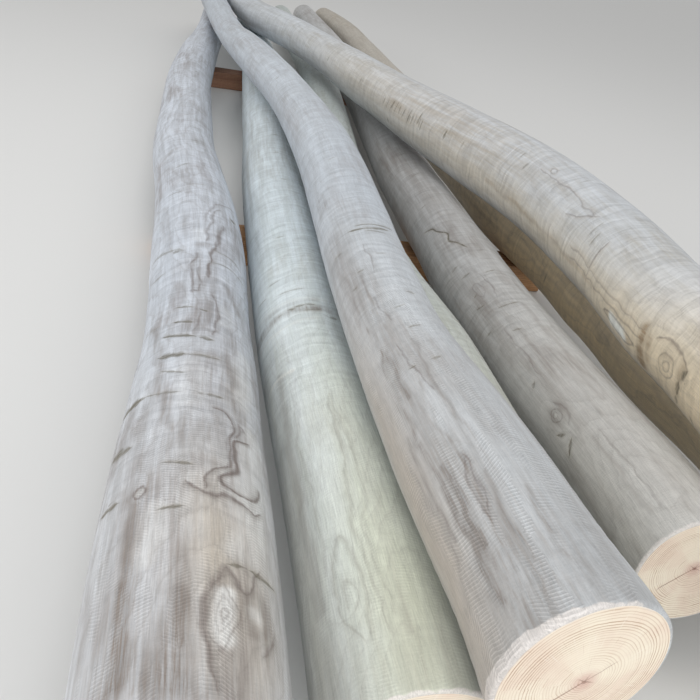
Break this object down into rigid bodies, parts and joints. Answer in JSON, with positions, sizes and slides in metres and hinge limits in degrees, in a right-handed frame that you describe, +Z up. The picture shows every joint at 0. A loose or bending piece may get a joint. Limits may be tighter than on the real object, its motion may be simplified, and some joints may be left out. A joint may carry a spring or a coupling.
{
  "type": "stack of round wooden posts",
  "caption": "Crooked natural round wooden posts, peeled and sanded, stacked lengthwise in two layers on sawn timber bearers.",
  "frame": {"origin": "centre of the stack's box, on the floor that the bearers lie on", "axes": "+Y along the posts from their butts to their thin ends, +X across the stack, +Z up"},
  "size_m": [1.0084, 4.4291, 0.373],
  "materials": {
    "sanded_post_wood": "sanded bare wood",
    "bearer_wood": "rough sawn"
  },
  "bodies": {
    "root": {"post_left": "sanded_post_wood", "post_second": "sanded_post_wood", "post_under": "sanded_post_wood", "post_inner": "sanded_post_wood", "post_right": "sanded_post_wood", "post_top_left": "sanded_post_wood", "post_top_right": "sanded_post_wood", "bearer_near": "bearer_wood", "bearer_far": "bearer_wood"}
  },
  "joints": []
}
